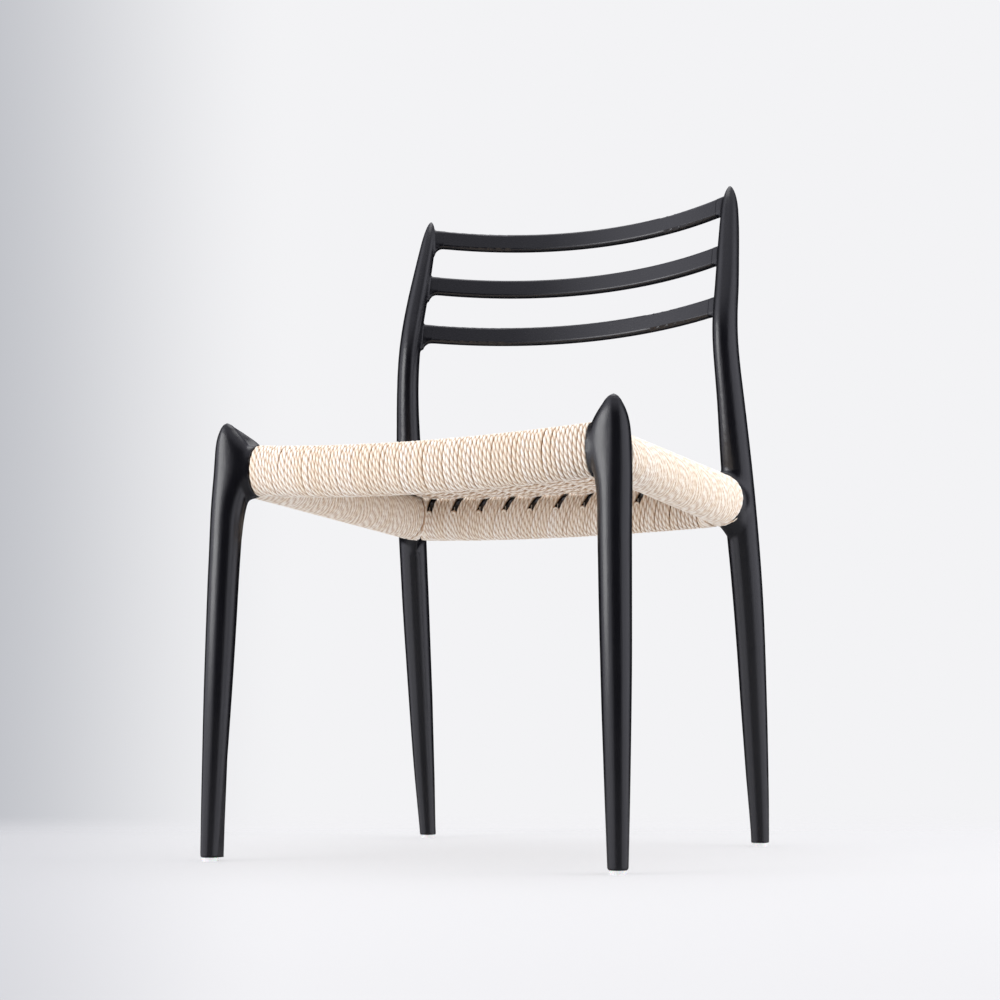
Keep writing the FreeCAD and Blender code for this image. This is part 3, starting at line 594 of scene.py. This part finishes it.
def seat_level(x, y):
    """Height of the web: a line from the front rail's top to the rear rail's, less a slack sag."""
    front_y, front_z = rail_middle(cross_rails["front"], x)
    rear_y, rear_z = rail_middle(cross_rails["rear"], x)
    share = np.clip((y - front_y) / (rear_y - front_y), 0, 1)
    slack = seat_sag * 4 * share * (1 - share)
    return front_z + (rear_z - front_z) * share + wood_tall + cord_radius - slack


def weft_bow(x, number):
    """How far a weft row bows from its ends' line: from the front rail's bow to the rear rail's."""
    share = number / (weft_count - 1)
    full = 1 - (x / cross_rails["front"]["half"]) ** 2
    bow = cross_rails["front"]["bow"] * (1 - share) + cross_rails["rear"]["bow"] * share
    return full * bow


def weft_number(x, y):
    """Which weft row lies at a place, as a real number: the rows' places are even along y at any x."""
    first = side_front["back"] + weft_pitch / 2 + weft_bow(x, 0)
    last = side_front["back"] + weft_pitch * (weft_count - 0.5) + weft_bow(x, weft_count - 1)
    return (y - first) / (last - first) * (weft_count - 1)


def warp_side(pair, offset):
    """One of the two cords of a pair, from nail to nail, over and under two rows of weft at a time."""
    place = pair * pair_step + offset
    front_x = place * cross_rails["front"]["pitch"]
    rear_x = place * cross_rails["rear"]["pitch"]
    front, front_out = round_cross_rail(cross_rails["front"], front_x, np.radians(np.linspace(2, -270, 60)))
    rear, rear_out = round_cross_rail(cross_rails["rear"], rear_x, np.radians(np.linspace(90, -188, 60)))
    share = np.linspace(0, 1, 400)[1:-1]
    x = front_x + (rear[0, 0] - front_x) * share
    y = front[-1, 1] + (rear[0, 1] - front[-1, 1]) * share
    free = ramp(y - front[-1, 1], *free_of_front) * ramp(rear[0, 1] - y, *free_of_rear)
    wave = -warp_wave * (-1) ** pair * np.cos(math.pi / 2 * (weft_number(x, y) - 0.5))
    run = np.stack([x, y, seat_level(x, y) + free * wave], 1)
    up = np.broadcast_to([0.0, 0.0, 1.0], run.shape)
    return np.concatenate([front, run, rear]), np.concatenate([front_out, up, rear_out])


def over_nail(start, end, inward):
    """The bend that joins a pair over its nail: half a circle on the rail's inner face."""
    angle = np.linspace(0, math.pi, 14)[1:-1]
    middle = (start + end) / 2
    bend = middle + np.cos(angle)[:, None] * (start - middle)
    bend[:, 2] += np.sin(angle) * np.linalg.norm(end - start) / 2
    return bend, np.broadcast_to([0.0, inward, 0.0], bend.shape)


pairs = []
for pair in range(-(pair_count // 2), pair_count // 2 + 1):
    there, there_out = warp_side(pair, -0.5)
    back, back_out = warp_side(pair, 0.5)
    rear_bend, rear_out = over_nail(there[-1], back[-1], -1.0)
    front_bend, front_out = over_nail(back[0], there[0], 1.0)
    pairs.append((np.concatenate([there, rear_bend, back[::-1], front_bend]),
                  np.concatenate([there_out, rear_out, back_out[::-1], front_out])))
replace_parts(wound_piece("warp_pairs", pairs, True, wrap_spread), "woven_seat")

# Weft: seventy-eight cords from side to side, laid close. Each starts high on the inner face of the left
# rail, winds under and over it, passes over and under the warp pairs two by two, and winds round the right.
weft_thirds = ("front", "middle", "rear")
weft_sway = 0.2 * mm
web_half = 186 * mm
climb_to_rail = (160 * mm, 204 * mm)
wave_dies = (184 * mm, 202 * mm)


def side_rail_middle(y):
    """A side rail at y: its middle's distance out and level, and its turns' slant and drop."""
    share = (y - side_front["back"]) / (side_rear["back"] - side_front["back"])
    return [side_front[key] + (side_rear[key] - side_front[key]) * share
            for key in ("out", "level", "slant", "drop")]


def round_side_rail(side, y, angle):
    """A line on the oval round a side rail, half a cord off the wood: angle 0 towards the right.

    The turns fan out: on the outer side they stand farther forward at the front, farther back at the rear.
    """
    middle, z, slant, drop = side_rail_middle(y)
    cosine, sine = np.cos(angle), np.sin(angle)
    out = np.stack([cosine / side_wood_thick, np.zeros_like(angle), sine / side_wood_tall], 1)
    aside = (side_wood_thick + cord_radius) * cosine
    tall = np.where(sine > 0, side_wood_tall + cord_radius, drop)
    line = np.stack([side * middle + aside, y + slant * side * aside, z + tall * sine], 1)
    return line, out / np.linalg.norm(out, axis=1)[:, None]


def weft_row(number):
    """One weft cord: round the left rail, across the warp in waves, and round the right rail."""
    y = side_front["back"] + weft_pitch * (number + 0.5)
    sway = weft_sway * np.sin(np.linspace(0, 9, 70) + shade_seed.random() * 6)
    left, left_out = round_side_rail(-1, y + sway, np.radians(np.linspace(45, -270, 70)))
    right, right_out = round_side_rail(1, y + sway, np.radians(np.linspace(90, -225, 70)))
    share = np.linspace(0, 1, 400)[1:-1]
    x = left[-1, 0] + (right[0, 0] - left[-1, 0]) * share
    rail_half = cross_rails["front"]["half"]
    row = y + weft_bow(np.clip(x, -rail_half, rail_half), number)
    near_rail = ramp(np.abs(x), *climb_to_rail)
    level = seat_level(np.clip(x, -web_half, web_half), row) * (1 - near_rail) + left[-1, 2] * near_rail
    depth = number / (weft_count - 1)
    pitch = cross_rails["front"]["pitch"] * (1 - depth) + cross_rails["rear"]["pitch"] * depth
    warp_gap = pair_step * pitch
    wave = weft_wave * (-1) ** (number // 2) * np.cos(math.pi * x / warp_gap)
    run = np.stack([x, row, level + wave * (1 - ramp(np.abs(x), *wave_dies))], 1)
    up = np.broadcast_to([0.0, 0.0, 1.0], run.shape)
    return np.concatenate([left, run, right]), np.concatenate([left_out, up, right_out])


rows_each = weft_count // len(weft_thirds)
for third, label in enumerate(weft_thirds):
    rows = [weft_row(number) for number in range(third * rows_each, (third + 1) * rows_each)]
    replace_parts(wound_piece("weft_" + label, rows, False, web_spread), "woven_seat", "left_rail_cord",
                "right_rail_cord")

# Corner turns: a few more turns on the ends of the side rails, fanned out until they close the corners
# beside the legs. They hold the last rows of weft tight and are glued off inside.
corner_turns = 5
corner_fan = 0.115
corner_growth = 0.6 * mm
fullest = math.radians(200)
half = side_wood_thick + cord_radius
turns = []
for end, inner in ((side_front, -194.4 * mm), (side_rear, 146.5 * mm)):
    for number in range(1, corner_turns + 1):
        fan = end["slant"] + math.copysign(corner_fan * number, end["slant"])
        over = corner_growth * number if end is side_rear else 0
        grow = over * np.clip(np.cos(full_turn - fullest), 0, 1)
        aside = (half + grow) * np.cos(full_turn)
        tall = np.where(np.sin(full_turn) > 0, side_wood_tall + cord_radius, end["drop"]) + grow
        for side in (-1, 1):
            line = np.stack([side * (end["out"] + aside), inner + fan * (aside + half),
                             end["level"] + tall * np.sin(full_turn)], 1)
            out = np.stack([side * np.cos(full_turn), np.zeros_like(full_turn), np.sin(full_turn)], 1)
            turns.append((line, out))
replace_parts(wound_piece("corner_turns", turns, True, wrap_spread), "left_rail_cord", "right_rail_cord")

# Glides: small white nylon feet, each nailed under a leg so that the chair slides without marking the
# floor. Moulded nylon is milky and slightly rough, and lets a little light in.
nylon = new_material("white_nylon")
place = add_node(nylon, "TexCoord", {}, {})
mould = add_node(nylon, "TexNoise", {}, {"Vector": place.outputs["Object"], "Scale": 1 / (0.8 * mm)})
milky = add_node(nylon, "Mix", {"data_type": "RGBA"},
                 {0: mould.outputs["Fac"], 6: linear("#e4e5e6"), 7: linear("#f4f4f3")})
grit = add_node(nylon, "Bump", {}, {"Height": mould.outputs["Fac"], "Strength": 0.15, "Distance": 0.1 * mm})
plastic = add_node(nylon, "BsdfPrincipled", {},
                   {"Base Color": milky.outputs[2], "Roughness": 0.45, "IOR": 1.53,
                    "Subsurface Weight": 0.2, "Subsurface Scale": 2 * mm, "Normal": grit.outputs[0]})
add_node(nylon, "OutputMaterial", {}, {"Surface": plastic.outputs[0]})
for end in ("front", "rear"):
    for side in ("left", "right"):
        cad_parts["%s_glide_%s" % (end, side)].material_slots[0].material = nylon

# Floor: a plain pale studio floor that fades into the backdrop behind the chair.
floor_radius = 3.0
away_from_camera = (-0.4241, 0.9056, 0.0)
right_of_camera = (0.9056, 0.4241, 0.0)
paint = new_material("pale_studio_floor")
place = add_node(paint, "TexCoord", {}, {})
distance = add_node(paint, "VectorMath", {"operation": "DOT_PRODUCT"},
                    {0: place.outputs["Object"], 1: away_from_camera})
fade = add_node(paint, "MapRange", {"interpolation_type": "SMOOTHSTEP"},
                {"Value": distance.outputs["Value"], "From Min": 0.3, "From Max": 1.0, "To Min": 0.6})
matt = add_node(paint, "BsdfDiffuse", {}, {"Color": linear("#d2d2d5")})
clear = add_node(paint, "BsdfTransparent", {}, {})
edge = add_node(paint, "MixShader", {}, {0: fade.outputs[0], 1: matt.outputs[0], 2: clear.outputs[0]})
add_node(paint, "OutputMaterial", {}, {"Surface": edge.outputs[0]})
bpy.ops.mesh.primitive_circle_add(vertices=96, radius=floor_radius, fill_type="NGON", location=(0, 0, 0))
floor = bpy.context.object
floor.name = "floor"
floor.data.materials.append(paint)

# Studio: a pale backdrop with painted shade that darkens it towards the left, even light on matt
# surfaces, and for reflections a room that is dark behind the camera and bright at the sides and above.
seat_middle = (0, 0, 0.42)
world = bpy.data.worlds.new("studio")
bpy.context.scene.world = world
world.use_nodes = True
world.node_tree.nodes.clear()
path = add_node(world, "LightPath", {}, {})
sky = add_node(world, "TexCoord", {}, {})
rightward = add_node(world, "VectorMath", {"operation": "DOT_PRODUCT"},
                     {0: sky.outputs["Generated"], 1: right_of_camera})
# Painted shade: the backdrop seen by the camera darkens from pale to grey towards the left.
backdrop_shade_share = add_node(world, "MapRange", {"interpolation_type": "SMOOTHSTEP"},
                   {"Value": rightward.outputs["Value"], "From Min": -0.28, "From Max": -0.1})
backdrop_with_painted_shade = add_node(world, "Mix", {"data_type": "RGBA"},
                         {0: backdrop_shade_share.outputs[0], 6: linear("#bcbec4"), 7: linear("#f3f3f5")})
left_wall = add_node(world, "VectorMath", {"operation": "DOT_PRODUCT"},
                     {0: sky.outputs["Generated"], 1: (-0.766, -0.643, 0.0)})
left_glow = add_node(world, "MapRange", {"interpolation_type": "SMOOTHSTEP"},
                     {"Value": left_wall.outputs["Value"], "From Min": 0.6, "From Max": 0.86,
                      "To Max": 1.4})
right_wall = add_node(world, "VectorMath", {"operation": "DOT_PRODUCT"},
                      {0: sky.outputs["Generated"], 1: (0.985, 0.17, 0.0)})
right_glow = add_node(world, "MapRange", {"interpolation_type": "SMOOTHSTEP"},
                      {"Value": right_wall.outputs["Value"], "From Min": 0.7, "From Max": 0.92,
                       "To Max": 1.5})
upward = add_node(world, "SeparateXYZ", {}, {0: sky.outputs["Generated"]})
ceiling = add_node(world, "MapRange", {"interpolation_type": "SMOOTHSTEP"},
                   {"Value": upward.outputs["Z"], "From Min": 0.35, "From Max": 0.8, "To Max": 0.9})
walls = add_node(world, "Math", {"operation": "ADD"}, {0: left_glow.outputs[0], 1: right_glow.outputs[0]})
room = add_node(world, "Math", {"operation": "ADD"}, {0: walls.outputs[0], 1: ceiling.outputs[0]})
backdrop = add_node(world, "Background", {}, {"Color": backdrop_with_painted_shade.outputs[2], "Strength": 1.0})
dim_room = add_node(world, "Background", {}, {"Color": linear("#efeffb"), "Strength": room.outputs[0]})
even_light = add_node(world, "Background", {}, {"Color": linear("#fdfcfe"), "Strength": 0.97})
lit = add_node(world, "MixShader", {}, {0: path.outputs["Is Glossy Ray"], 1: even_light.outputs[0],
                                        2: dim_room.outputs[0]})
seen = add_node(world, "MixShader", {}, {0: path.outputs["Is Camera Ray"], 1: lit.outputs[0],
                                         2: backdrop.outputs[0]})
add_node(world, "OutputWorld", {}, {"Surface": seen.outputs[0]})


def soft_box(name, place, size, power):
    """A square lamp that faces the middle of the seat."""
    lamp = bpy.data.lights.new(name, "AREA")
    lamp.size = size
    lamp.energy = power
    holder = bpy.data.objects.new(name, lamp)
    bpy.context.scene.collection.objects.link(holder)
    aim = np.array(seat_middle) - np.array(place)
    turn = math.atan2(aim[1], aim[0]) - math.pi / 2
    tip = math.atan2(aim[2], math.hypot(aim[0], aim[1])) + math.pi / 2
    holder.location = place
    holder.rotation_euler = (tip, 0, turn)
    return holder


soft_box("left_soft_box", (-1.5, -1.65, 1.0), 1.3, 25)
soft_box("right_soft_box", (1.9, 0.45, 0.9), 1.3, 19).visible_glossy = False
soft_box("top_soft_box", (0.0, 0.2, 2.4), 1.6, 16)

# Camera: low in front of the chair and to its right, looking slightly up.
lens = bpy.data.cameras.new("camera")
lens.sensor_width = 36
lens.lens = 71.24
camera = bpy.data.objects.new("camera", lens)
bpy.context.scene.collection.objects.link(camera)
camera_place = (0.9591, -2.0671, 0.145)
heading = Matrix.Rotation(math.radians(25.093), 4, "Z")
tilt = Matrix.Rotation(math.radians(96.47), 4, "X")
roll = Matrix.Rotation(math.radians(-0.09), 4, "Z")
camera.matrix_world = Matrix.Translation(camera_place) @ heading @ tilt @ roll
bpy.context.scene.camera = camera
bpy.context.scene.view_settings.view_transform = "Standard"
